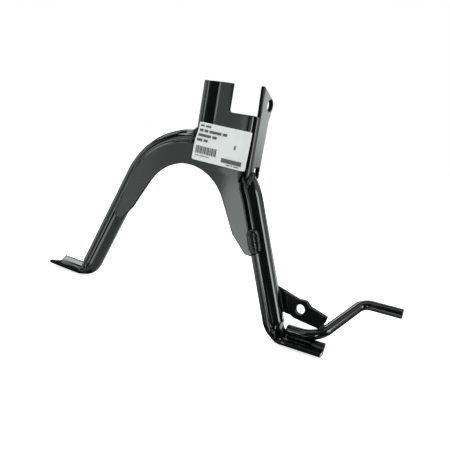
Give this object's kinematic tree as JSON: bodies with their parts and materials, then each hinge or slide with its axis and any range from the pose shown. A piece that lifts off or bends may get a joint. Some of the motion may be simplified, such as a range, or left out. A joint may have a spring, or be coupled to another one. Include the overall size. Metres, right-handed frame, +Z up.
{
  "type": "scooter centre stand",
  "caption": "Tubular centre stand with a folded bridge plate, two splayed legs, pressed feet and a bent foot lever.",
  "frame": {"origin": "middle of the pivot axis, halfway between the two flanges of the bridge plate", "axes": "+Z up, +X to the side that the foot lever points to, +Y to the rear, so the web of the bridge plate faces -Y and the pivot axis lies along X"},
  "size_m": [0.441, 0.1055, 0.2689],
  "materials": {
    "gloss_black_paint": "gloss black paint on steel",
    "white_paper": "matt white adhesive label"
  },
  "bodies": {
    "root": {"leg_tube": "gloss_black_paint", "bridge_plate": "gloss_black_paint", "foot_lever": "gloss_black_paint", "stop_tab": "gloss_black_paint", "blank_label": "white_paper", "weld_crown": "gloss_black_paint", "weld_shoulder": "gloss_black_paint", "weld_left_leg": "gloss_black_paint", "weld_right_leg": "gloss_black_paint", "weld_right_flange": "gloss_black_paint", "weld_left_flange": "gloss_black_paint", "weld_tab_leg": "gloss_black_paint", "weld_tab_lever": "gloss_black_paint", "weld_lever_foot": "gloss_black_paint"}
  },
  "joints": []
}
